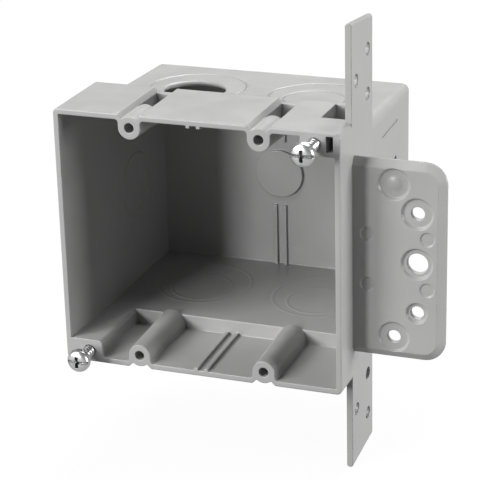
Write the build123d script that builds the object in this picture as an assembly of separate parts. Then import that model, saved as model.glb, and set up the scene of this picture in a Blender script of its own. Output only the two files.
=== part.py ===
"""Two-gang electrical box with a moulded stud bracket and two corner cover screws.

Millimetres. The origin is the middle of the four device screw holes on the front rim.
+X is to the right seen from the front, +Y runs into the box and +Z is up.
"""

from build123d import *
import math
import os

# Device screw pattern: two wiring devices side by side
GANG_PITCH = 46.04
DEVICE_SCREW_PITCH = 83.34
DEVICE_HOLE_RADIUS = 1.75
BOSS_RADIUS = 4.0
BOSS_SOLID_LENGTH = 15.0
BOSS_CORE_RADIUS = 2.7
BOSS_FOOT = 1.2
BOSS_OVERRUN = 1.6
BOSS_END_CHAMFER = 1.0

# Collar: the front part that comes through the wall board
COLLAR_WIDTH = 102.2
COLLAR_MARGIN = 4.73
COLLAR_DEPTH = 32.5
COLLAR_CORNER = 2.0
RIM_CHAMFER = 0.35
WALL = 2.0
DRAFT = 1.7

# Rear section: lower than the collar, flush with its right side
REAR_STEP = 6.3
REAR_LEFT_INSET = 0.7
REAR_CORNER = 4.0
REAR_BACK_CHAMFER = 0.9
TOTAL_DEPTH = 86.4

# Shallow notch outside the wall at each device boss
NOTCH_WIDTH = 8.6
NOTCH_FLOOR = 5.6
NOTCH_DEPTH = 1.5

# Corner screw blocks, upper right and lower left
BLOCK_WIDTH = 11.8
BLOCK_ROUND = 1.5
BLOCK_SIDE_WALL = 2.4
BLOCK_FLOOR = 1.6
SCREW_FROM_SIDE = 8.9
SCREW_FROM_TOP = 4.2
KEY_SLOT_WIDTH = 2.4
KEY_SLOT_HEIGHT = 5.4
KEY_SLOT_DEPTH = 12.0
KEY_SLOT_FROM_SIDE = 3.7
KEY_SLOT_FROM_TOP = 4.1

# Cover screws
SCREW_RADIUS = 2.08
SCREW_CLEARANCE = 0.05
SCREW_LENGTH = 25.4
SCREW_TIP = 0.7
HEAD_RADIUS = 4.1
HEAD_EDGE = 1.5
HEAD_TOP_RADIUS = 2.6
HEAD_HEIGHT = 3.0
HEAD_SLOT_WIDTH = 1.2
HEAD_SLOT_DEPTH = 1.3
CROSS_RADIUS = 2.1
CROSS_DEPTH = 1.9
UPPER_SCREW_PROUD = 10.4
LOWER_SCREW_PROUD = 8.2

# Divider ribs: two slots for a plate between the gangs
RIB_PITCH = 3.7
RIB_THICKNESS = 1.3
RIB_HEIGHT = 0.9

# Round pad in the middle of the back wall
PAD_RADIUS = 9.15
PAD_HEIGHT = 1.3
PAD_TO_RIB = 3.4

# Knockouts: an eccentric pair of rings above and below each gang, one ring on the left
KNOCKOUT_PITCH = 45.3
KNOCKOUT_CENTRE_X = 1.2
LARGE_KNOCKOUT_RADIUS = 17.5
LARGE_KNOCKOUT_FROM_BACK = 27.4
SMALL_KNOCKOUT_RADIUS = 11.1
SMALL_KNOCKOUT_OFFSET = 3.5
SIDE_KNOCKOUT_FROM_BACK = 28.4
GROOVE_WIDTH = 1.3
GROOVE_DEPTH = 0.5
BREAK_OUT = 0.1
OPEN_EDGE = 1.2
OPEN_RELIEF = 1.4

# Stud strap: the right wall carried on above and below the box, with slanted ends
STRAP_FRONT = 12.1
STRAP_WIDTH = 23.6
STRAP_THICKNESS = 2.2
STRAP_REACH = 33.1
STRAP_END_DROP = 2.3
STRAP_CORNER = 1.2
STRAP_CHAMFER = 0.6
NAIL_RADIUS = 2.3
FRONT_NAIL_INSET = 4.9
FRONT_NAIL_RISE = 12.8
REAR_NAIL_INSET = 5.9
REAR_NAIL_RISE = 4.8
REAR_NAIL_STEP = 15.4

# Stud flange: the plate that lies on the front edge of the stud
FLANGE_REACH = 32.0
FLANGE_HEIGHT = 70.4
FLANGE_DROP = 0.7
FLANGE_THICKNESS = 2.6
FLANGE_EDGE = 0.6
FLANGE_CORNER = 7.5
BEVEL_WIDTH = 2.7
HOLE_INSET = 9.6
HOLE_STEP = 17.65
END_HOLE_REACH = 14.4
END_HOLE_INSET = 7.9
HOLE_RADIUS = 2.3
CENTRE_HOLE_RADIUS = 3.6
RING_RADIUS = 4.9
SMALL_RING_RADIUS = 3.1
RING_FLARE = 0.65
RING_DEPTH = 0.8
MOUND_RADIUS = 2.9
MOUND_HEIGHT = 0.6
EJECTOR_RADIUS = 2.2
EJECTOR_DEPTH = 0.35
EJECTOR_REACH = 5.2
EJECTOR_INSET = 6.1
EJECTOR_STEP = 9.0

# Marks on the outside of the right wall
SCORE_FROM_BACK = 17.4
SCORE_LENGTH = 21.0
SCORE_WIDTH = 0.8
SCORE_DEPTH = 0.25
SCORE_Z = 30.0
PIT_FROM_BACK = 19.9
PIT_Z = 15.6
PIT_RADIUS = 1.8
PIT_DEPTH = 0.8

# Values worked out from the sizes above
HALF_WIDTH = COLLAR_WIDTH / 2
HALF_HEIGHT = DEVICE_SCREW_PITCH / 2 + COLLAR_MARGIN
REAR_HALF_HEIGHT = HALF_HEIGHT - REAR_STEP
RISER = COLLAR_DEPTH - WALL
INNER_BACK = TOTAL_DEPTH - WALL
SLOPE = math.tan(math.radians(DRAFT))
REAR_CENTRE_X = REAR_LEFT_INSET / 2
BOSS_X = GANG_PITCH / 2
BOSS_Z = DEVICE_SCREW_PITCH / 2
BLOCK_LEFT = HALF_WIDTH - WALL - BLOCK_WIDTH
BLOCK_BOTTOM = REAR_HALF_HEIGHT - WALL
SCREW_X = HALF_WIDTH - SCREW_FROM_SIDE
SCREW_Z = HALF_HEIGHT - SCREW_FROM_TOP
STRAP_BACK = STRAP_FRONT + STRAP_WIDTH
FLANGE_BACK = STRAP_FRONT + FLANGE_THICKNESS
FLANGE_HALF_HEIGHT = FLANGE_HEIGHT / 2
LARGE_KNOCKOUT_Y = TOTAL_DEPTH - LARGE_KNOCKOUT_FROM_BACK
SMALL_KNOCKOUT_Y = LARGE_KNOCKOUT_Y - SMALL_KNOCKOUT_OFFSET
SIDE_KNOCKOUT_Y = TOTAL_DEPTH - SIDE_KNOCKOUT_FROM_BACK
CUT = 1.0


def roof_height(y):
    """Height of the rear section's outer roof at a depth."""
    return REAR_HALF_HEIGHT - (y - COLLAR_DEPTH) * SLOPE


def run_back(section, start, end):
    """Solid of a front-view section (X right, Z up) from one depth to another."""
    return extrude(Plane.XZ.offset(-start) * section, amount=start - end)


def drafted(section, start, end, taper=DRAFT):
    """Solid of a section seen from behind, narrowing by the draft as it runs back."""
    prism = extrude(section, amount=end - start, taper=taper)
    return Pos(0, start, 0) * Rot(X=-90) * prism


def bar(x_range, y_range, z_range):
    """Straight-sided solid between two limits along each axis."""
    sizes = [high - low for low, high in (x_range, y_range, z_range)]
    lows = [low for low, high in (x_range, y_range, z_range)]
    return Pos(*lows) * Box(*sizes, align=(Align.MIN, Align.MIN, Align.MIN))


def rod(radius, x, z, start, end):
    """Round solid along the depth between two depths."""
    return run_back(Pos(x, z) * Circle(radius), start, end)


def four_ways(solid):
    """The solid and its three mirror images about the device centre lines."""
    pair = [solid, mirror(solid, about=Plane.YZ)]
    return pair + [mirror(one, about=Plane.XY) for one in pair]


def both_corners(solid):
    """The upper right solid and its copy at the lower left."""
    return [solid, Rot(Y=180) * solid]


def collar():
    """Outside of the front part, with its rim edge broken."""
    section = RectangleRounded(COLLAR_WIDTH, 2 * HALF_HEIGHT, COLLAR_CORNER)
    block = run_back(section, 0, COLLAR_DEPTH)
    return chamfer(block.faces().sort_by(Axis.Y)[0].edges(), RIM_CHAMFER)


def rear_section():
    """Outside of the rear part, drafted and with its back edge broken."""
    width = COLLAR_WIDTH - REAR_LEFT_INSET
    section = Pos(REAR_CENTRE_X, 0) * RectangleRounded(width, 2 * REAR_HALF_HEIGHT, REAR_CORNER)
    block = drafted(section, COLLAR_DEPTH, TOTAL_DEPTH)
    return chamfer(block.faces().sort_by(Axis.Y)[-1].edges(), REAR_BACK_CHAMFER)


def hollow():
    """Inside of the box: a tall front and a lower rear between the same side walls."""
    width = COLLAR_WIDTH - 2 * WALL
    front = Rectangle(width, 2 * (HALF_HEIGHT - WALL))
    rear = Rectangle(width, 2 * (REAR_HALF_HEIGHT - WALL + RISER * SLOPE))
    return drafted(front, 0, RISER) + drafted(rear, 0, INNER_BACK)


def strap():
    """Flat bar that carries the right wall on above and below the box."""
    front_half = HALF_HEIGHT + STRAP_REACH
    back_half = front_half - STRAP_END_DROP
    lower = [(STRAP_FRONT, -front_half), (STRAP_BACK, -back_half)]
    upper = [(STRAP_BACK, back_half), (STRAP_FRONT, front_half)]
    outline = Polygon(*lower, *upper, align=None)
    outline = fillet(outline.vertices().group_by(Axis.X)[-1], STRAP_CORNER)
    blade = extrude(Plane.YZ.offset(HALF_WIDTH - STRAP_THICKNESS) * outline, amount=STRAP_THICKNESS)
    ends = blade.faces().sort_by(Axis.Z)
    edges = ends[0].edges() + ends[-1].edges()
    return chamfer(edges.filter_by(Axis.X, reverse=True), STRAP_CHAMFER)


def strap_holes():
    """Nail holes through the strap, alike above and below."""
    back_y = STRAP_BACK - REAR_NAIL_INSET
    places = [
        (STRAP_FRONT + FRONT_NAIL_INSET, HALF_HEIGHT + FRONT_NAIL_RISE),
        (back_y, HALF_HEIGHT + REAR_NAIL_RISE),
        (back_y, HALF_HEIGHT + REAR_NAIL_RISE + REAR_NAIL_STEP),
    ]
    places += [(y, -z) for y, z in places]
    start = Plane.YZ.offset(HALF_WIDTH - STRAP_THICKNESS - CUT)
    length = STRAP_THICKNESS + 2 * CUT
    return [extrude(start * Pos(y, z) * Circle(NAIL_RADIUS), amount=length) for y, z in places]


def flange():
    """Plate on the stud's front edge, bevelled along its free edges."""
    root = HALF_WIDTH - BEVEL_WIDTH
    width = FLANGE_REACH + BEVEL_WIDTH
    outline = Pos(root + width / 2, -FLANGE_DROP) * Rectangle(width, FLANGE_HEIGHT)
    outline = fillet(outline.vertices().group_by(Axis.X)[-1], FLANGE_CORNER)
    bevel_back = FLANGE_BACK - FLANGE_EDGE
    bevel_depth = FLANGE_THICKNESS - FLANGE_EDGE
    angle = math.degrees(math.atan2(BEVEL_WIDTH, bevel_depth))
    bevel = Pos(0, bevel_back, 0) * Rot(X=90) * extrude(outline, amount=bevel_depth, taper=angle)
    return run_back(outline, bevel_back, FLANGE_BACK) + bevel


def flared(radius, flare, depth):
    """Round recess along +Y in the flange's front, wider there than at its floor."""
    cone = Cone(radius + flare, radius, depth, align=(Align.CENTER, Align.CENTER, Align.MIN))
    mouth = Cylinder(radius + flare, CUT, align=(Align.CENTER, Align.CENTER, Align.MAX))
    return Pos(0, STRAP_FRONT, 0) * Rot(X=-90) * (cone + mouth)


def flange_cuts():
    """Screw holes, their shallow rings and the ejector marks of the flange."""
    hole_x = HALF_WIDTH + FLANGE_REACH - HOLE_INSET
    end_x = HALF_WIDTH + END_HOLE_REACH
    end_rise = FLANGE_HALF_HEIGHT - END_HOLE_INSET
    holes = [
        (hole_x, HOLE_STEP, HOLE_RADIUS, RING_RADIUS),
        (hole_x, 0, CENTRE_HOLE_RADIUS, RING_RADIUS),
        (hole_x, -HOLE_STEP, HOLE_RADIUS, SMALL_RING_RADIUS),
        (end_x, -end_rise, HOLE_RADIUS, RING_RADIUS),
    ]
    cuts = []
    for x, rise, radius, ring in holes:
        recess = flared(ring, RING_FLARE, RING_DEPTH)
        hole = rod(radius, 0, 0, STRAP_FRONT - CUT, FLANGE_BACK + CUT)
        cuts += [Pos(x, 0, rise) * cut for cut in (recess, hole)]
    mark = flared(EJECTOR_RADIUS, EJECTOR_DEPTH, EJECTOR_DEPTH)
    for x in (HALF_WIDTH + EJECTOR_REACH, HALF_WIDTH + FLANGE_REACH - EJECTOR_INSET):
        cuts += [Pos(x, 0, rise) * mark for rise in (-EJECTOR_STEP, EJECTOR_STEP)]
    cuts.append(Pos(end_x, 0, end_rise) * blind_ring())
    return [Pos(0, 0, -FLANGE_DROP) * cut for cut in cuts]


def blind_ring():
    """Ring recess with a low mound left in its middle, where no hole goes through."""
    ball = (MOUND_RADIUS ** 2 + MOUND_HEIGHT ** 2) / (2 * MOUND_HEIGHT)
    crest = STRAP_FRONT + RING_DEPTH - MOUND_HEIGHT
    return flared(RING_RADIUS, RING_FLARE, RING_DEPTH) - Pos(0, crest + ball, 0) * Sphere(ball)


def notch():
    """Cut with sloped sides in the outside of the collar above a device boss."""
    floor = (NOTCH_FLOOR / 2, HALF_HEIGHT - NOTCH_DEPTH)
    edge = (NOTCH_WIDTH / 2, HALF_HEIGHT)
    above = (NOTCH_WIDTH / 2, HALF_HEIGHT + CUT)
    right = [floor, edge, above]
    left = [(-x, z) for x, z in reversed(right)]
    return run_back(Pos(BOSS_X, 0) * Polygon(*right, *left, align=None), -CUT, COLLAR_DEPTH + CUT)


def boss():
    """Half-round screw boss that widens backwards, with a filleted foot along the wall."""
    web_top = HALF_HEIGHT - NOTCH_DEPTH
    foot_base = HALF_HEIGHT - WALL - BOSS_FOOT
    reach = BOSS_RADIUS + BOSS_FOOT
    web = Pos(BOSS_X, (BOSS_Z + web_top) / 2) * Rectangle(2 * BOSS_RADIUS, web_top - BOSS_Z)
    foot = Pos(BOSS_X, (foot_base + web_top) / 2) * Rectangle(2 * reach, web_top - foot_base)
    for side in (-reach, reach):
        foot -= Pos(BOSS_X + side, foot_base) * Circle(BOSS_FOOT)
    round_web = Pos(BOSS_X, BOSS_Z) * Circle(BOSS_RADIUS) + web
    ridge = mirror(drafted(round_web, 0, RISER + BOSS_OVERRUN, -DRAFT), about=Plane.XY)
    ridge = chamfer(ridge.faces().sort_by(Axis.Y)[-1].edges(), BOSS_END_CHAMFER)
    ridge &= bar((0, HALF_WIDTH), (0, TOTAL_DEPTH), (0, web_top))
    return ridge + rod(BOSS_RADIUS, BOSS_X, BOSS_Z, 0, RISER) + run_back(foot, 0, RISER)


def boss_cuts():
    """Screw hole of a device boss, and the round-bottomed core behind it, open outwards."""
    top = HALF_HEIGHT + CUT
    trough = Pos(BOSS_X, (BOSS_Z + top) / 2) * Rectangle(2 * BOSS_CORE_RADIUS, top - BOSS_Z)
    section = Pos(BOSS_X, BOSS_Z) * Circle(BOSS_CORE_RADIUS) + trough
    hole = rod(DEVICE_HOLE_RADIUS, BOSS_X, BOSS_Z, -CUT, BOSS_SOLID_LENGTH + CUT)
    return [hole, run_back(section, BOSS_SOLID_LENGTH, RISER)]


def corner_block():
    """Upper right screw block, level with the rear roof inside."""
    right, top = HALF_WIDTH - WALL / 2, HALF_HEIGHT - WALL / 2
    width, height = right - BLOCK_LEFT, top - BLOCK_BOTTOM
    section = Pos(BLOCK_LEFT + width / 2, BLOCK_BOTTOM + height / 2) * Rectangle(width, height)
    corner = section.vertices().sort_by(Axis.X)[:2].sort_by(Axis.Y)[0]
    return run_back(fillet(corner, BLOCK_ROUND), 0, RISER + WALL / 2)


def corner_cuts():
    """Screw hole of a corner block and the pocket behind it, open outwards."""
    hole = rod(SCREW_RADIUS + SCREW_CLEARANCE, SCREW_X, SCREW_Z, -CUT, BOSS_SOLID_LENGTH + CUT)
    across = (BLOCK_LEFT + BLOCK_SIDE_WALL, HALF_WIDTH - WALL)
    pocket = bar(across, (BOSS_SOLID_LENGTH, RISER), (BLOCK_BOTTOM + BLOCK_FLOOR, HALF_HEIGHT + CUT))
    return [hole, pocket]


def key_slot():
    """Narrow blind slot beside the upper screw."""
    centre = Pos(HALF_WIDTH - KEY_SLOT_FROM_SIDE, HALF_HEIGHT - KEY_SLOT_FROM_TOP)
    return run_back(centre * Rectangle(KEY_SLOT_WIDTH, KEY_SLOT_HEIGHT), -CUT, KEY_SLOT_DEPTH)


def divider_ribs():
    """Pairs of low ribs on the collar's floor and ceiling and on the back wall."""
    outer = HALF_HEIGHT - WALL / 2
    crest = HALF_HEIGHT - WALL - RIB_HEIGHT
    half = RIB_THICKNESS / 2
    profile = Polygon((0, outer), (0, crest), (RISER, crest - RISER * SLOPE), (RISER, outer), align=None)
    along = extrude(Plane.YZ * profile, amount=half, both=True)
    depths = (INNER_BACK - RIB_HEIGHT, INNER_BACK + WALL / 2)
    upright = bar((-half, half), depths, (PAD_RADIUS + PAD_TO_RIB, REAR_HALF_HEIGHT - WALL))
    ribs = []
    for x in (-RIB_PITCH / 2, RIB_PITCH / 2):
        for rib in (along, upright):
            ribs += [Pos(x, 0, 0) * rib, Pos(x, 0, 0) * mirror(rib, about=Plane.XY)]
    return ribs


def back_pad():
    """Low round pad in the middle of the back wall."""
    return rod(PAD_RADIUS, 0, 0, INNER_BACK - PAD_HEIGHT, INNER_BACK + WALL / 2)


def groove(radius):
    """Vee ring, centred on the local origin, into a face that looks along local +Z."""
    outer, inner = radius + GROOVE_WIDTH, radius - GROOVE_WIDTH
    vee = Polygon((radius, -GROOVE_DEPTH), (outer, GROOVE_DEPTH), (inner, GROOVE_DEPTH), align=None)
    return revolve(Plane.XZ * vee, Axis.Z)


def on_roof(x, y):
    """Place on the rear roof, facing out along its normal."""
    return Pos(x, y, roof_height(y)) * Rot(X=-DRAFT)


def knockout_cuts():
    """Grooves round the knockouts above, below and on the left, and the one opened hole."""
    cuts = []
    for side in (-1, 1):
        x = KNOCKOUT_CENTRE_X + side * KNOCKOUT_PITCH / 2
        large = on_roof(x, LARGE_KNOCKOUT_Y) * groove(LARGE_KNOCKOUT_RADIUS)
        small = on_roof(x, SMALL_KNOCKOUT_Y) * groove(SMALL_KNOCKOUT_RADIUS)
        cuts += [large, small, mirror(large, about=Plane.XY), mirror(small, about=Plane.XY)]
    opened = on_roof(KNOCKOUT_CENTRE_X - KNOCKOUT_PITCH / 2, SMALL_KNOCKOUT_Y)
    left_x = REAR_LEFT_INSET - HALF_WIDTH + (SIDE_KNOCKOUT_Y - COLLAR_DEPTH) * SLOPE
    on_left = Pos(left_x, SIDE_KNOCKOUT_Y, 0) * Rot(Z=-DRAFT) * Rot(Y=-90)
    hole = opened * Cylinder(SMALL_KNOCKOUT_RADIUS + BREAK_OUT, 4 * WALL)
    below = (Align.CENTER, Align.CENTER, Align.MAX)
    relief = Cylinder(SMALL_KNOCKOUT_RADIUS + OPEN_RELIEF, 2 * WALL, align=below)
    relief = opened * Pos(0, 0, -OPEN_EDGE) * relief
    return cuts + [hole, relief, on_left * groove(SMALL_KNOCKOUT_RADIUS)]


def right_wall_marks():
    """Fine score line and small pit on the outside of the rear right wall."""
    def on_wall(y, z):
        return Pos(HALF_WIDTH - (y - COLLAR_DEPTH) * SLOPE, y, z) * Rot(Z=DRAFT)

    middle = TOTAL_DEPTH - SCORE_FROM_BACK - SCORE_LENGTH / 2
    score = on_wall(middle, SCORE_Z) * Box(2 * SCORE_DEPTH, SCORE_LENGTH, SCORE_WIDTH)
    pit = on_wall(TOTAL_DEPTH - PIT_FROM_BACK, PIT_Z) * Rot(Y=90) * Cylinder(PIT_RADIUS, 2 * PIT_DEPTH)
    return [score, pit]


def moulded_box():
    """The whole moulding: box, bosses, blocks, ribs, knockouts, strap and flange."""
    shell = collar() + rear_section() + strap() + flange()
    shell -= hollow()
    shell -= four_ways(notch())
    shell += four_ways(boss()) + both_corners(corner_block())
    shell += divider_ribs() + [back_pad()]
    for cut in boss_cuts():
        shell -= four_ways(cut)
    for cut in corner_cuts():
        shell -= both_corners(cut)
    shell -= [key_slot()] + strap_holes() + flange_cuts()
    return shell - knockout_cuts() - right_wall_marks()


def cover_screw(x, z, proud):
    """Pan-head screw along the depth with a slot and cross, its head standing proud."""
    tip = SCREW_TIP - SCREW_LENGTH
    point = [(0, -SCREW_LENGTH), (SCREW_RADIUS - SCREW_TIP, -SCREW_LENGTH), (SCREW_RADIUS, tip)]
    neck = [(SCREW_RADIUS, 0), (HEAD_RADIUS, 0), (HEAD_RADIUS, HEAD_EDGE)]
    crown = [(HEAD_TOP_RADIUS, HEAD_HEIGHT), (0, HEAD_HEIGHT)]
    blank = revolve(Plane.XZ * Polygon(*point, *neck, *crown, align=None), Axis.Z)
    low = (Align.CENTER, Align.CENTER, Align.MIN)
    slot = Box(2 * HEAD_RADIUS + CUT, HEAD_SLOT_WIDTH, HEAD_HEIGHT, align=low)
    cross = Box(HEAD_SLOT_WIDTH, 2 * CROSS_RADIUS, HEAD_HEIGHT, align=low)
    slot = Pos(0, 0, HEAD_HEIGHT - HEAD_SLOT_DEPTH) * slot
    cross = Pos(0, 0, HEAD_HEIGHT - CROSS_DEPTH) * cross
    return Pos(x, -proud, z) * Rot(X=90) * (blank - slot - cross)


def main():
    """Build every piece and write it to its own file."""
    pieces = {
        "moulded_box": moulded_box(),
        "cover_screw_upper": cover_screw(SCREW_X, SCREW_Z, UPPER_SCREW_PROUD),
        "cover_screw_lower": cover_screw(-SCREW_X, -SCREW_Z, LOWER_SCREW_PROUD),
    }
    os.makedirs("parts", exist_ok=True)
    for name, piece in pieces.items():
        export_step(piece, f"parts/{name}.step")


main()
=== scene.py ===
"""Two-gang electrical box: moulded grey housing, threaded cover screws, studio and camera."""

import logging
import math
from dataclasses import dataclass
from enum import Enum

import bmesh
import bpy
from mathutils import Matrix, Vector


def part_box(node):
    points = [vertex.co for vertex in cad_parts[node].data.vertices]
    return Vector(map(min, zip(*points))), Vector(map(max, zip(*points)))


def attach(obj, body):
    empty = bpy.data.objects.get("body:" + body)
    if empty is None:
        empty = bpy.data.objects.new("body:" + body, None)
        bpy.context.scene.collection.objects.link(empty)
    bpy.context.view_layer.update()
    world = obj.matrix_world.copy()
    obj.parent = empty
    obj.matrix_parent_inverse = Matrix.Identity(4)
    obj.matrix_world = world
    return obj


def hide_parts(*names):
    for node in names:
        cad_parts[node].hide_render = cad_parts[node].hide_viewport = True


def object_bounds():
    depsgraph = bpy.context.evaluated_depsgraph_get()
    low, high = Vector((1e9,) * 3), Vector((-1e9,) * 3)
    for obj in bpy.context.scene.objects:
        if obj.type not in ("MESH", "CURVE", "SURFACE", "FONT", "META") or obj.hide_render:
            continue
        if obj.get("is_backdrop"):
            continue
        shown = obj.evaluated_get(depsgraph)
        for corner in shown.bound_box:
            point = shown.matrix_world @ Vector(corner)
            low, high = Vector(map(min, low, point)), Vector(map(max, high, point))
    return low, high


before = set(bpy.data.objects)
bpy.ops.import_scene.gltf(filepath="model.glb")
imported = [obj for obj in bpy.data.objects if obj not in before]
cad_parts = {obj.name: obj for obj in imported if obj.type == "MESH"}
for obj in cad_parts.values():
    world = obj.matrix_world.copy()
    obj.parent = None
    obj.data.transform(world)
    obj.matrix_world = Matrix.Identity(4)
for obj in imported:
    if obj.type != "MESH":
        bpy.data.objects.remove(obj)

LOG = logging.getLogger("two_gang_box")
MM = 0.001
WELD = 0.001 * MM
# Mesh value that sets how much painted shade a screw's plating gets: darker in the thread roots and
# the drive recess.
PAINTED_SHADE = "painted_shade"
NOISE_LOW, NOISE_HIGH = 0.3, 0.7
MIX_FIRST, MIX_SECOND, MIX_RESULT = 6, 7, 2
Triple = tuple[float, float, float]
Socket = bpy.types.NodeSocket


class Corner(Enum):
    """The two corner blocks that hold a cover screw."""

    UPPER_RIGHT = "upper"
    LOWER_LEFT = "lower"

    @property
    def node(self) -> str:
        """Name of the CAD node of the screw in this corner."""
        return f"cover_screw_{self.value}"

    @property
    def body(self) -> str:
        """Name of the body that the screw moves with."""
        return f"{self.value}_screw"


class Slot(Enum):
    """Material slots of the record."""

    PLASTIC = "grey_plastic"
    ZINC = "zinc_steel"


class ShaderGraph:
    """A material's node tree, built one node at a time."""

    def __init__(self, name: str) -> None:
        """Start an empty material.

        Args:
            name: Name of the material.
        """
        self.material = bpy.data.materials.new(name)
        self.material.use_nodes = True
        self.nodes = self.material.node_tree.nodes
        self.links = self.material.node_tree.links
        self.nodes.clear()
        self.output = self.nodes.new("ShaderNodeOutputMaterial")

    def add(self, kind: str, inputs: dict | None = None, **settings: object) -> bpy.types.Node:
        """Add a node.

        Args:
            kind: Blender's identifier of the node type.
            inputs: Socket values or source sockets, by socket name or index.
            settings: Properties of the node itself.

        Returns:
            The new node.
        """
        node = self.nodes.new(kind)
        for key, value in settings.items():
            setattr(node, key, value)
        for key, value in (inputs or {}).items():
            if isinstance(value, Socket):
                self.links.new(value, node.inputs[key])
            else:
                node.inputs[key].default_value = value
        return node

    def place(self) -> Socket:
        """Read Object coordinates, in metres on every piece.

        Returns:
            The coordinates.
        """
        return self.add("ShaderNodeTexCoord").outputs["Object"]

    def noise(self, place: Socket, scale: float, detail: float) -> Socket:
        """Noise value over the surface.

        Args:
            place: Coordinates to read.
            scale: Features per metre.
            detail: Number of finer layers.

        Returns:
            The noise value.
        """
        inputs = {"Vector": place, "Scale": scale, "Detail": detail}
        return self.add("ShaderNodeTexNoise", inputs).outputs[0]

    def spread(self, value: Socket, low: float, high: float) -> Socket:
        """Map the middle of a noise value to a range.

        Args:
            value: Noise value.
            low: Result where the noise is weak.
            high: Result where the noise is strong.

        Returns:
            The mapped value.
        """
        inputs = {
            "Value": value,
            "From Min": NOISE_LOW,
            "From Max": NOISE_HIGH,
            "To Min": low,
            "To Max": high,
        }
        return self.add("ShaderNodeMapRange", inputs).outputs["Result"]

    def blend(self, factor: Socket, low: Triple, high: Triple) -> Socket:
        """Mix two colours.

        Args:
            factor: Share of the second colour.
            low: First colour, linear.
            high: Second colour, linear.

        Returns:
            The mixed colour.
        """
        mix = self.add("ShaderNodeMix", data_type="RGBA")
        self.links.new(factor, mix.inputs[0])
        mix.inputs[MIX_FIRST].default_value = (*low, 1.0)
        mix.inputs[MIX_SECOND].default_value = (*high, 1.0)
        return mix.outputs[MIX_RESULT]

    def finish(self, surface: Socket) -> bpy.types.Material:
        """Send a shader to the output.

        Args:
            surface: Shader of the surface.

        Returns:
            The finished material.
        """
        self.links.new(surface, self.output.inputs["Surface"])
        return self.material


@dataclass(frozen=True)
class GreyPlastic:
    """Satin grey moulded plastic with faint flow clouds and softened edges."""

    light: Triple = (0.385, 0.382, 0.380)
    dark: Triple = (0.352, 0.351, 0.350)
    cloud_scale: float = 34.0
    cloud_detail: float = 3.0
    streak_ratio: float = 4.0
    fine_detail: float = 2.0
    rough_low: float = 0.29
    rough_high: float = 0.37
    skin_scale: float = 950.0
    skin_height: float = 0.01 * MM
    skin_strength: float = 0.6
    edge_radius: float = 0.55 * MM
    edge_samples: int = 8

    def build(self) -> bpy.types.Material:
        """Make the material.

        Returns:
            The plastic's material.
        """
        graph = ShaderGraph("moulded_grey_plastic")
        place = graph.place()
        clouds = graph.noise(place, self.cloud_scale, self.cloud_detail)
        skin = graph.noise(place, self.skin_scale, self.fine_detail)
        round_off = {"Radius": self.edge_radius}
        edges = graph.add("ShaderNodeBevel", round_off, samples=self.edge_samples)
        bump = graph.add("ShaderNodeBump", {
            "Height": skin,
            "Distance": self.skin_height,
            "Strength": self.skin_strength,
            "Normal": edges.outputs[0],
        })
        streaks = graph.noise(place, self.cloud_scale * self.streak_ratio, self.fine_detail)
        shader = graph.add("ShaderNodeBsdfPrincipled", {
            "Base Color": graph.blend(graph.spread(clouds, 0.0, 1.0), self.dark, self.light),
            "Roughness": graph.spread(streaks, self.rough_low, self.rough_high),
            "Normal": bump.outputs[0],
        })
        return graph.finish(shader.outputs[0])


@dataclass(frozen=True)
class ZincPlate:
    """Bright zinc plating, a little uneven in tint and polish, with painted shade: a darker colour
    where the screws mark thread roots and the drive recess.
    """

    bright: Triple = (0.82, 0.82, 0.81)
    dull: Triple = (0.70, 0.71, 0.72)
    shade_colour: Triple = (0.10, 0.10, 0.10)
    patch_scale: float = 300.0
    patch_detail: float = 3.0
    scuff_ratio: float = 5.0
    scuff_detail: float = 2.0
    scuff_height: float = 0.002 * MM
    scuff_strength: float = 0.4
    rough_low: float = 0.285
    rough_high: float = 0.34
    edge_radius: float = 0.08 * MM
    edge_samples: int = 4

    def build(self) -> bpy.types.Material:
        """Make the material.

        Returns:
            The plating's material.
        """
        graph = ShaderGraph("bright_zinc_plate")
        place = graph.place()
        patches = graph.noise(place, self.patch_scale, self.patch_detail)
        scuffs = graph.noise(place, self.patch_scale * self.scuff_ratio, self.scuff_detail)
        round_off = {"Radius": self.edge_radius}
        edges = graph.add("ShaderNodeBevel", round_off, samples=self.edge_samples)
        bump = graph.add("ShaderNodeBump", {
            "Height": scuffs,
            "Distance": self.scuff_height,
            "Strength": self.scuff_strength,
            "Normal": edges.outputs[0],
        })
        plate = graph.blend(graph.spread(patches, 0.0, 1.0), self.dull, self.bright)
        # Painted shade: the plating colour is mixed towards near black by the screws' painted shade
        # value, standing in for the shade in thread roots and the recess.
        painted_shade = graph.add("ShaderNodeAttribute", attribute_name=PAINTED_SHADE).outputs["Fac"]
        tint = graph.add("ShaderNodeMix", {0: painted_shade, MIX_FIRST: plate}, data_type="RGBA")
        tint.inputs[MIX_SECOND].default_value = (*self.shade_colour, 1.0)
        shader = graph.add("ShaderNodeBsdfPrincipled", {
            "Base Color": tint.outputs[MIX_RESULT],
            "Metallic": 1.0,
            "Roughness": graph.spread(scuffs, self.rough_low, self.rough_high),
            "Normal": bump.outputs[0],
        })
        return graph.finish(shader.outputs[0])


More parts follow.
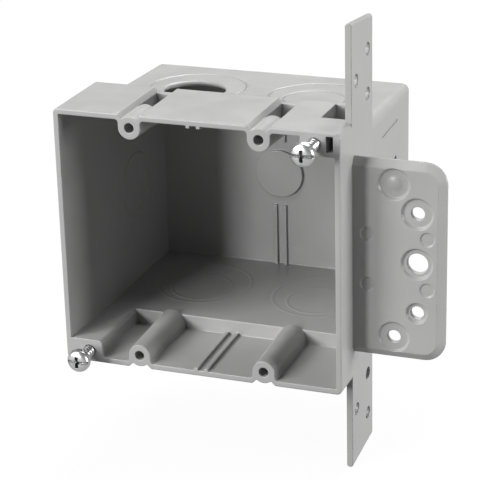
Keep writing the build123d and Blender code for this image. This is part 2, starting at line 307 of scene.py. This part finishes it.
@dataclass(frozen=True)
class WhiteSweep:
    """Matt floor that the camera sees as white, with the object's shadow, and metal as grey."""

    colour: Triple = (0.80, 0.80, 0.80)
    bounce: Triple = (0.11, 0.11, 0.11)
    camera_glow: float = 0.95
    mirror_glow: float = 0.42
    mottle_scale: float = 3.0
    mottle_detail: float = 2.0
    mottle_gain: float = 1.02

    def build(self) -> bpy.types.Material:
        """Make the material.

        Returns:
            The floor's material.
        """
        graph = ShaderGraph("white_sweep")
        path = graph.add("ShaderNodeLightPath")
        direct = {0: path.outputs["Is Camera Ray"], 1: self.camera_glow}
        seen = graph.add("ShaderNodeMath", direct, operation="MULTIPLY")
        mirrored = {0: path.outputs["Is Glossy Ray"], 1: self.mirror_glow, 2: seen.outputs[0]}
        share = graph.add("ShaderNodeMath", mirrored, operation="MULTIPLY_ADD", use_clamp=True)
        grain = graph.noise(graph.place(), self.mottle_scale, self.mottle_detail)
        mottle = graph.spread(grain, 0.0, 1.0)
        paler = tuple(min(1.0, part * self.mottle_gain) for part in self.colour)
        pale = graph.blend(mottle, self.colour, paler)
        rays = {0: path.outputs["Is Diffuse Ray"], 1: path.outputs["Is Glossy Ray"]}
        indirect = graph.add("ShaderNodeMath", rays, operation="MAXIMUM")
        tones = {0: indirect.outputs[0], MIX_FIRST: pale}
        sheet = graph.add("ShaderNodeMix", tones, data_type="RGBA")
        sheet.inputs[MIX_SECOND].default_value = (*self.bounce, 1.0)
        paper = graph.add("ShaderNodeBsdfDiffuse", {"Color": sheet.outputs[MIX_RESULT]})
        glow = graph.add("ShaderNodeEmission", {"Strength": 1.0})
        layers = {0: share.outputs[0], 1: paper.outputs[0], 2: glow.outputs[0]}
        return graph.finish(graph.add("ShaderNodeMixShader", layers).outputs[0])


class ShapeTree:
    """A Geometry Nodes tree with named sizes, built one node at a time."""

    def __init__(self, name: str, sizes: dict[str, float]) -> None:
        """Start a tree.

        Args:
            name: Name of the tree.
            sizes: Default value of each named size, in metres or plain numbers.
        """
        self.tree = bpy.data.node_groups.new(name, "GeometryNodeTree")
        face = self.tree.interface
        face.new_socket("Geometry", in_out="OUTPUT", socket_type="NodeSocketGeometry")
        face.new_socket("Material", in_out="INPUT", socket_type="NodeSocketMaterial")
        for key, value in sizes.items():
            socket = face.new_socket(key, in_out="INPUT", socket_type="NodeSocketFloat")
            socket.default_value = value
        self.entry = self.tree.nodes.new("NodeGroupInput")

    def add(self, kind: str, inputs: dict | None = None, **settings: object) -> bpy.types.Node:
        """Add a node.

        Args:
            kind: Blender's identifier of the node type.
            inputs: Socket values or source sockets, by socket name or index.
            settings: Properties of the node itself.

        Returns:
            The new node.
        """
        node = self.tree.nodes.new(kind)
        for key, value in settings.items():
            setattr(node, key, value)
        for key, value in (inputs or {}).items():
            if isinstance(value, Socket):
                self.tree.links.new(value, node.inputs[key])
            else:
                node.inputs[key].default_value = value
        return node

    def size(self, name: str) -> Socket:
        """Find the socket of a named size.

        Args:
            name: Name of the size.

        Returns:
            Its socket.
        """
        return self.entry.outputs[name]

    def math(self, operation: str, *values: object, clamp: bool = False) -> Socket:
        """Arithmetic on sockets and numbers.

        Args:
            operation: Name of the operation.
            values: Sockets or numbers that it takes.
            clamp: Whether the result is kept between 0 and 1.

        Returns:
            The result.
        """
        inputs = dict(enumerate(values))
        return self.add("ShaderNodeMath", inputs, operation=operation, use_clamp=clamp).outputs[0]

    def turned(self, radius: Socket, along: Socket, turn: Socket, grid: Socket) -> Socket:
        """Wrap a grid into a turned shape about the depth axis.

        Args:
            radius: Radius at each point.
            along: Depth of each point.
            turn: Share of a full turn of each point about the axis.
            grid: The grid to wrap.

        Returns:
            The closed shape.
        """
        angle = self.math("MULTIPLY", turn, math.tau)
        x = self.math("MULTIPLY", radius, self.math("COSINE", angle))
        z = self.math("MULTIPLY", radius, self.math("SINE", angle))
        point = self.add("ShaderNodeCombineXYZ", {0: x, 1: along, 2: z}).outputs[0]
        moved = self.add("GeometryNodeSetPosition", {"Geometry": grid, "Position": point})
        welded = self.add("GeometryNodeMergeByDistance", {0: moved.outputs[0], "Distance": WELD})
        return welded.outputs[0]

    def sheet(self, around: int, along: int) -> tuple[Socket, Socket, Socket]:
        """Unit grid to wrap.

        Args:
            around: Points round the axis.
            along: Points along the shape.

        Returns:
            The grid, and each point's share of the way around and along.
        """
        counts = {"Vertices X": around, "Vertices Y": along}
        grid = self.add("GeometryNodeMeshGrid", counts).outputs["Mesh"]
        point = self.add("GeometryNodeInputPosition").outputs[0]
        place = self.add("ShaderNodeSeparateXYZ", {0: point})
        shares = [self.math("ADD", place.outputs[axis], 0.5) for axis in (0, 1)]
        return grid, shares[0], shares[1]

    def mark(self, mesh: Socket, share: object, domain: str) -> Socket:
        """Store how much painted shade each part of a shape gets.

        Args:
            mesh: The shape to mark.
            share: Number or field from 0, no painted shade, to 1, full painted shade.
            domain: Part of the mesh that carries the value.

        Returns:
            The marked shape.
        """
        inputs = {"Geometry": mesh, "Name": PAINTED_SHADE, "Value": share}
        return self.add("GeometryNodeStoreNamedAttribute", inputs, domain=domain).outputs[0]

    def close(self, shape: Socket) -> bpy.types.NodeTree:
        """Realise the shape, give it its material and end the tree.

        Args:
            shape: The finished geometry.

        Returns:
            The tree.
        """
        real = self.add("GeometryNodeRealizeInstances", {0: shape})
        dress = {0: real.outputs[0], "Material": self.size("Material")}
        dressed = self.add("GeometryNodeSetMaterial", dress)
        end = self.add("NodeGroupOutput")
        self.tree.links.new(dressed.outputs[0], end.inputs[0])
        return self.tree


def grow(name: str, tree: bpy.types.NodeTree, values: dict[str, object]) -> bpy.types.Object:
    """Run a tree once and keep its result as a plain mesh at the origin.

    Args:
        name: Name of the new piece.
        tree: The tree to run.
        values: Values of its named inputs.

    Returns:
        The new piece.
    """
    seed = bpy.data.objects.new(f"{name}_seed", bpy.data.meshes.new(f"{name}_seed"))
    bpy.context.scene.collection.objects.link(seed)
    modifier = seed.modifiers.new("shape", "NODES")
    modifier.node_group = tree
    for item in tree.interface.items_tree:
        if item.in_out == "INPUT" and item.name in values:
            modifier[item.identifier] = values[item.name]
    evaluated = seed.evaluated_get(bpy.context.evaluated_depsgraph_get())
    mesh = bpy.data.meshes.new_from_object(evaluated)
    mesh.name = name
    seed.modifiers.remove(modifier)
    bpy.data.objects.remove(seed)
    piece = bpy.data.objects.new(name, mesh)
    bpy.context.scene.collection.objects.link(piece)
    return piece


def smooth(mesh: bpy.types.Mesh, degrees: float) -> None:
    """Shade a mesh smooth, with its sharper edges kept.

    Args:
        mesh: The mesh to shade.
        degrees: Angle above which an edge stays sharp.
    """
    mesh.shade_smooth()
    mesh.set_sharp_from_angle(angle=math.radians(degrees))


@dataclass
class MouldedBox:
    """The housing: one moulding with its strap, flange, bosses and knockouts."""

    plastic: bpy.types.Material
    node: str = "moulded_box"
    body: str = "box"
    sharp_degrees: float = 28.0
    weld: float = 0.002 * MM
    area_weight: int = 100

    def build(self) -> bpy.types.Object:
        """Make the housing from the CAD shape, merged and evenly shaded.

        Returns:
            The housing.
        """
        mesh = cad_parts[self.node].data.copy()
        mesh.name = "housing"
        stored = mesh.attributes.get("custom_normal")
        if stored is not None:
            mesh.attributes.remove(stored)
        work = bmesh.new()
        work.from_mesh(mesh)
        bmesh.ops.remove_doubles(work, verts=work.verts, dist=self.weld)
        work.to_mesh(mesh)
        work.free()
        mesh.materials.clear()
        mesh.materials.append(self.plastic)
        smooth(mesh, self.sharp_degrees)
        piece = bpy.data.objects.new("housing", mesh)
        bpy.context.scene.collection.objects.link(piece)
        self.weigh_normals(piece)
        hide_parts(self.node)
        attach(piece, self.body)
        return piece

    def weigh_normals(self, piece: bpy.types.Object) -> None:
        """Keep flat faces flat where they run into round ones.

        Args:
            piece: The housing.
        """
        modifier = piece.modifiers.new("even", "WEIGHTED_NORMAL")
        modifier.keep_sharp = True
        modifier.weight = self.area_weight
        evaluated = piece.evaluated_get(bpy.context.evaluated_depsgraph_get())
        mesh = bpy.data.meshes.new_from_object(evaluated)
        piece.modifiers.remove(modifier)
        piece.data = mesh
        mesh.name = "housing"


@dataclass
class CoverScrews:
    """Pan-head machine screws with a rolled thread and a slotted cross recess."""

    zinc: bpy.types.Material
    radius: float = 2.08 * MM
    length: float = 25.4 * MM
    pitch: float = 1.7 * MM
    thread_depth: float = 0.5 * MM
    tip: float = 0.7 * MM
    head_radius: float = 4.1 * MM
    head_edge: float = 0.9 * MM
    head_height: float = 3.0 * MM
    slot_width: float = 1.2 * MM
    slot_depth: float = 1.3 * MM
    cross_reach: float = 2.1 * MM
    cross_depth: float = 1.9 * MM
    around: int = 49
    rows_per_turn: int = 12
    head_rows: int = 33
    under_share: float = 0.25
    edge_share: float = 0.125
    crown_pull: float = 0.62
    crown_rise: float = 0.8
    slot_overrun: float = 2.2
    flank_gain: float = 1.35
    crest_share: float = 0.2
    open_half: float = 0.4999
    sharp_degrees: float = 40.0
    # Painted shade: share of dark plating colour painted into the thread roots and the drive
    # recess.
    root_shade: float = 0.8
    recess_shade: float = 0.85

    def sizes(self) -> dict[str, float]:
        """Named sizes of the screw's tree.

        Returns:
            Each size by its name in the tree.
        """
        return {
            "Radius": self.radius,
            "Length": self.length,
            "Pitch": self.pitch,
            "Thread Depth": self.thread_depth,
            "Tip": self.tip,
            "Head Radius": self.head_radius,
            "Head Edge": self.head_edge,
            "Head Height": self.head_height,
            "Slot Width": self.slot_width,
            "Slot Depth": self.slot_depth,
            "Cross Reach": self.cross_reach,
            "Cross Depth": self.cross_depth,
            "Centre X": 0.0,
            "Seat Y": 0.0,
            "Centre Z": 0.0,
        }

    def shank(self, shape: ShapeTree) -> Socket:
        """Threaded shank from under the head to the tip.

        Args:
            shape: The screw's tree.

        Returns:
            The shank's geometry.
        """
        rows = int(self.length / self.pitch * self.rows_per_turn)
        grid, turn, run = shape.sheet(self.around, rows)
        along = shape.math("MULTIPLY", run, shape.size("Length"))
        turns = shape.math("DIVIDE", along, shape.size("Pitch"))
        helix = shape.math("FRACT", shape.math("ADD", turns, turn))
        swing = shape.math("SUBTRACT", shape.math("MULTIPLY", helix, 2.0), 1.0)
        flank = shape.math("MULTIPLY", shape.math("ABSOLUTE", swing), self.flank_gain)
        valley = shape.math("SUBTRACT", flank, self.crest_share, clamp=True)
        depth = shape.math("MULTIPLY", valley, shape.size("Thread Depth"))
        threaded = shape.math("SUBTRACT", shape.size("Radius"), depth)
        start = shape.math("SUBTRACT", shape.size("Length"), shape.size("Tip"))
        taper = shape.math("MAXIMUM", shape.math("SUBTRACT", along, start), 0.0)
        # The first and the last row close the shank on its axis.
        between = shape.math("COMPARE", run, 0.5, self.open_half)
        radius = shape.math("MULTIPLY", shape.math("SUBTRACT", threaded, taper), between)
        # Painted shade: the thread roots get a darker plating colour in place of the shade in the
        # valleys.
        marked = shape.mark(grid, shape.math("MULTIPLY", valley, self.root_shade), "CORNER")
        return shape.turned(radius, along, turn, marked)

    def head(self, shape: ShapeTree) -> Socket:
        """Rounded pan head with its slot and cross.

        Args:
            shape: The screw's tree.

        Returns:
            The head's geometry.
        """
        grid, turn, run = shape.sheet(self.around, self.head_rows)
        crown_start = self.under_share + self.edge_share
        past_under = shape.math("SUBTRACT", run, self.under_share)
        past_edge = shape.math("SUBTRACT", run, crown_start)
        under = shape.math("DIVIDE", run, self.under_share, clamp=True)
        edge = shape.math("DIVIDE", past_under, self.edge_share, clamp=True)
        crown = shape.math("DIVIDE", past_edge, 1.0 - crown_start, clamp=True)
        bend = shape.math("MULTIPLY", crown, math.pi / 2)
        pull = shape.math("POWER", shape.math("COSINE", bend), self.crown_pull)
        rise = shape.math("POWER", shape.math("SINE", bend), self.crown_rise)
        width = shape.math("MULTIPLY", under, pull)
        radius = shape.math("MULTIPLY", width, shape.size("Head Radius"))
        dome = shape.math("SUBTRACT", shape.size("Head Height"), shape.size("Head Edge"))
        side = shape.math("MULTIPLY", edge, shape.size("Head Edge"))
        height = shape.math("ADD", side, shape.math("MULTIPLY", rise, dome))
        along = shape.math("MULTIPLY", height, -1.0)
        blank = shape.turned(radius, along, turn, shape.mark(grid, 0.0, "FACE"))
        across = shape.math("MULTIPLY", shape.size("Head Radius"), self.slot_overrun)
        reach = shape.math("MULTIPLY", shape.size("Cross Reach"), 2.0)
        slot = self.recess(shape, across, shape.size("Slot Depth"), shape.size("Slot Width"))
        cross = self.recess(shape, shape.size("Slot Width"), shape.size("Cross Depth"), reach)
        cut = shape.add("GeometryNodeMeshBoolean", operation="DIFFERENCE", solver="EXACT")
        shape.tree.links.new(blank, cut.inputs["Mesh 1"])
        shape.tree.links.new(cross, cut.inputs["Mesh 2"])
        shape.tree.links.new(slot, cut.inputs["Mesh 2"])
        return cut.outputs[0]

    def recess(self, shape: ShapeTree, across: Socket, depth: Socket, upright: Socket) -> Socket:
        """Cutter for one arm of the drive recess.

        Args:
            shape: The screw's tree.
            across: Its size across.
            depth: How far it goes into the head.
            upright: Its size upwards.

        Returns:
            The cutter's geometry.
        """
        tall = shape.math("MULTIPLY", depth, 2.0)
        size = shape.add("ShaderNodeCombineXYZ", {0: across, 1: tall, 2: upright}).outputs[0]
        cube = shape.add("GeometryNodeMeshCube", {"Size": size}).outputs["Mesh"]
        # Painted shade: the recess cutter's faces pass a dark plating colour on to the cut walls of
        # the recess.
        marked = shape.mark(cube, self.recess_shade, "FACE")
        front = shape.math("MULTIPLY", shape.size("Head Height"), -1.0)
        place = shape.add("ShaderNodeCombineXYZ", {1: front}).outputs[0]
        inputs = {"Geometry": marked, "Translation": place}
        return shape.add("GeometryNodeTransform", inputs).outputs[0]

    def plan(self) -> bpy.types.NodeTree:
        """Make the tree that both screws share.

        Returns:
            The screw's tree.
        """
        shape = ShapeTree("cover_screw", self.sizes())
        both = shape.add("GeometryNodeJoinGeometry")
        shape.tree.links.new(self.shank(shape), both.inputs[0])
        shape.tree.links.new(self.head(shape), both.inputs[0])
        names = ("Centre X", "Seat Y", "Centre Z")
        centre = {axis: shape.size(name) for axis, name in enumerate(names)}
        place = shape.add("ShaderNodeCombineXYZ", centre).outputs[0]
        inputs = {"Geometry": both.outputs[0], "Translation": place}
        return shape.close(shape.add("GeometryNodeTransform", inputs).outputs[0])

    def build(self) -> list[bpy.types.Object]:
        """Make both screws where the CAD has them.

        Returns:
            The screws.
        """
        tree = self.plan()
        return [self.place(tree, corner) for corner in Corner]

    def place(self, tree: bpy.types.NodeTree, corner: Corner) -> bpy.types.Object:
        """Make the screw of one corner.

        Args:
            tree: The screw's tree.
            corner: Which corner it belongs to.

        Returns:
            The screw.
        """
        low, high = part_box(corner.node)
        centre = (Vector(low) + Vector(high)) / 2
        values = {
            **self.sizes(),
            "Material": self.zinc,
            "Centre X": centre.x,
            "Seat Y": low[1] + self.head_height,
            "Centre Z": centre.z,
        }
        piece = grow(f"threaded_screw_{corner.value}", tree, values)
        smooth(piece.data, self.sharp_degrees)
        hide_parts(corner.node)
        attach(piece, corner.body)
        return piece


@dataclass(frozen=True)
class RingPlace:
    """Where one knockout shows through on an inner wall."""

    radius: float
    centre: Triple
    turn: Triple


@dataclass
class KnockoutTraces:
    """Faint rings that the knockouts leave on the inner walls."""

    plastic: bpy.types.Material
    body: str = "box"
    width: float = 2.2 * MM
    height: float = 0.12 * MM
    sink: float = 0.09 * MM
    side_sink: float = 0.03 * MM
    large_radius: float = 17.5 * MM
    small_radius: float = 11.1 * MM
    gang_centres: tuple[float, float] = (-21.45 * MM, 23.85 * MM)
    large_y: float = 59.0 * MM
    small_y: float = 55.5 * MM
    side_y: float = 58.0 * MM
    riser_y: float = 30.5 * MM
    riser_half_height: float = 38.1 * MM
    half_width: float = 49.1 * MM
    draft: float = math.radians(1.7)
    bead_points: int = 16
    ring_points: int = 96
    sharp_degrees: float = 60.0

    def half_height(self, y: float) -> float:
        """Find how high a bead that is sunk into the inner roof lies.

        Args:
            y: Depth of the ring's centre.

        Returns:
            Height above the middle of the box.
        """
        return self.riser_half_height - (y - self.riser_y) * math.tan(self.draft) + self.sink

    def places(self) -> list[RingPlace]:
        """List every ring on the floor, the roof and the left wall.

        Returns:
            The rings.
        """
        rings = []
        kinds = ((self.large_radius, self.large_y), (self.small_radius, self.small_y))
        for x in self.gang_centres:
            for radius, y in kinds:
                level = self.half_height(y)
                rings.append(RingPlace(radius, (x, y, -level), (self.draft, 0.0, 0.0)))
                # The left gang's small knockout in the roof is open.
                if radius == self.large_radius or x > 0.0:
                    rings.append(RingPlace(radius, (x, y, level), (-self.draft, 0.0, 0.0)))
        left = -self.half_width + self.side_y * math.tan(self.draft) - self.side_sink
        turn = (0.0, math.pi / 2, -self.draft)
        rings.append(RingPlace(self.small_radius, (left, self.side_y, 0.0), turn))
        return rings

    def plan(self) -> bpy.types.NodeTree:
        """Make the tree that sweeps a flat bead round every ring.

        Returns:
            The traces' tree.
        """
        shape = ShapeTree("knockout_traces", {"Width": self.width, "Height": self.height})
        half = shape.math("MULTIPLY", shape.size("Width"), 0.5)
        round_bead = {"Resolution": self.bead_points, "Radius": half}
        bead = shape.add("GeometryNodeCurvePrimitiveCircle", round_bead).outputs[0]
        flat = shape.math("DIVIDE", shape.size("Height"), half)
        squash = shape.add("ShaderNodeCombineXYZ", {0: 1.0, 1: flat, 2: 1.0}).outputs[0]
        profile = shape.add("GeometryNodeTransform", {"Geometry": bead, "Scale": squash}).outputs[0]
        joined = shape.add("GeometryNodeJoinGeometry")
        for ring in self.places():
            circle = {"Resolution": self.ring_points, "Radius": ring.radius}
            path = shape.add("GeometryNodeCurvePrimitiveCircle", circle).outputs[0]
            curves = {"Curve": path, "Profile Curve": profile}
            sweep = shape.add("GeometryNodeCurveToMesh", curves).outputs[0]
            inputs = {"Geometry": sweep, "Translation": ring.centre, "Rotation": ring.turn}
            moved = shape.add("GeometryNodeTransform", inputs).outputs[0]
            shape.tree.links.new(moved, joined.inputs[0])
        return shape.close(joined.outputs[0])

    def build(self) -> bpy.types.Object:
        """Make all the rings as one piece.

        Returns:
            The traces.
        """
        values = {"Material": self.plastic, "Width": self.width, "Height": self.height}
        piece = grow("knockout_traces", self.plan(), values)
        smooth(piece.data, self.sharp_degrees)
        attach(piece, self.body)
        return piece


@dataclass(frozen=True)
class Softbox:
    """One rectangular studio lamp, aimed at the box."""

    name: str
    place: Triple
    size: tuple[float, float]
    power: float
    aim: Triple = (0.0, 0.03, 0.0)

    def build(self) -> bpy.types.Object:
        """Make the lamp.

        Returns:
            The lamp.
        """
        data = bpy.data.lights.new(self.name, "AREA")
        data.shape = "RECTANGLE"
        data.size, data.size_y = self.size
        data.energy = self.power
        lamp = bpy.data.objects.new(self.name, data)
        lamp.visible_camera = False
        bpy.context.scene.collection.objects.link(lamp)
        place = Vector(self.place)
        turn = (Vector(self.aim) - place).to_track_quat("-Z", "Y")
        lamp.matrix_world = Matrix.Translation(place) @ turn.to_matrix().to_4x4()
        return lamp


@dataclass
class Studio:
    """Pale floor, soft lamps and the camera at the photograph's angle."""

    floor_reach: float = 6.0
    ambient: float = 0.01
    mirror_level: float = 0.2
    focal_px: float = 1939.10
    frame_px: float = 480.0
    sensor_mm: float = 36.0
    near: float = 0.01
    eye: Triple = (0.233070, -0.563700, 0.239001)
    right: Triple = (0.936126, 0.350802, -0.024627)
    down: Triple = (0.104787, -0.345106, -0.932696)
    forward: Triple = (-0.335691, 0.870540, -0.359822)
    lamps: tuple[Softbox, ...] = (
        Softbox("key_left", (-0.969, -0.969, 0.61), (0.5, 0.5), 15.0),
        Softbox("key_high_left", (-0.645, -0.717, 1.149), (0.5, 0.5), 7.5),
        Softbox("key_spot", (-0.561, -1.356, 0.312), (0.24, 0.24), 11.0),
        Softbox("right_panel", (1.483, 0.078, 0.209), (0.7, 0.5), 23.5),
        Softbox("back_panel", (0.0, 0.882, 1.214), (0.9, 0.9), 27.0),
    )

    def build(self, low: Vector) -> None:
        """Make the floor, the light and the camera.

        Args:
            low: Lowest corner of the object.
        """
        self.floor(low.z)
        self.world()
        for lamp in self.lamps:
            lamp.build()
        self.camera()
        bpy.context.scene.view_settings.view_transform = "Standard"

    def floor(self, level: float) -> None:
        """Make the floor that the object stands on.

        Args:
            level: Height of the floor.
        """
        reach = self.floor_reach
        signs = ((-1, -1), (1, -1), (1, 1), (-1, 1))
        corners = [(x * reach, y * reach, level) for x, y in signs]
        mesh = bpy.data.meshes.new("floor")
        mesh.from_pydata(corners, [], [(0, 1, 2, 3)])
        mesh.materials.append(WhiteSweep().build())
        plane = bpy.data.objects.new("floor", mesh)
        bpy.context.scene.collection.objects.link(plane)
        plane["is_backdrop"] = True

    def world(self) -> None:
        """Set a faint surrounding light that the camera sees as white and metal as pale grey."""
        world = bpy.data.worlds.new("white_room")
        world.use_nodes = True
        nodes, links = world.node_tree.nodes, world.node_tree.links
        back = nodes["Background"]
        path = nodes.new("ShaderNodeLightPath")
        seen = nodes.new("ShaderNodeMath")
        seen.operation = "MAXIMUM"
        links.new(path.outputs["Is Camera Ray"], seen.inputs[0])
        links.new(path.outputs["Is Transmission Ray"], seen.inputs[1])
        strength = nodes.new("ShaderNodeMapRange")
        strength.inputs["To Min"].default_value = self.ambient
        strength.inputs["To Max"].default_value = 1.0
        links.new(seen.outputs[0], strength.inputs["Value"])
        mirrored = nodes.new("ShaderNodeMath")
        mirrored.operation = "MULTIPLY_ADD"
        links.new(path.outputs["Is Glossy Ray"], mirrored.inputs[0])
        mirrored.inputs[1].default_value = self.mirror_level
        links.new(strength.outputs["Result"], mirrored.inputs[2])
        back.inputs["Color"].default_value = (1.0, 1.0, 1.0, 1.0)
        links.new(mirrored.outputs[0], back.inputs["Strength"])
        bpy.context.scene.world = world

    def camera(self) -> None:
        """Set the camera where the photograph was taken from."""
        data = bpy.data.cameras.new("photo_camera")
        data.sensor_width = self.sensor_mm
        data.lens = self.focal_px / self.frame_px * data.sensor_width
        data.clip_start = self.near
        camera = bpy.data.objects.new("photo_camera", data)
        bpy.context.scene.collection.objects.link(camera)
        axes = Matrix((self.right, -Vector(self.down), -Vector(self.forward))).transposed()
        camera.matrix_world = Matrix.Translation(self.eye) @ axes.to_4x4()
        bpy.context.scene.camera = camera


def main() -> None:
    """Build the pieces in order, then the studio, and note the sizes."""
    logging.basicConfig(level=logging.INFO)
    cad_box = [list(corner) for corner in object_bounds()]
    plastic = GreyPlastic().build()
    pieces = [MouldedBox(plastic).build(), KnockoutTraces(plastic).build()]
    pieces += CoverScrews(ZincPlate().build()).build()
    for piece in pieces:
        LOG.info("%s: %d faces", piece.name, len(piece.data.polygons))
    Studio().build(Vector(cad_box[0]))


if __name__ == "__main__":
    main()
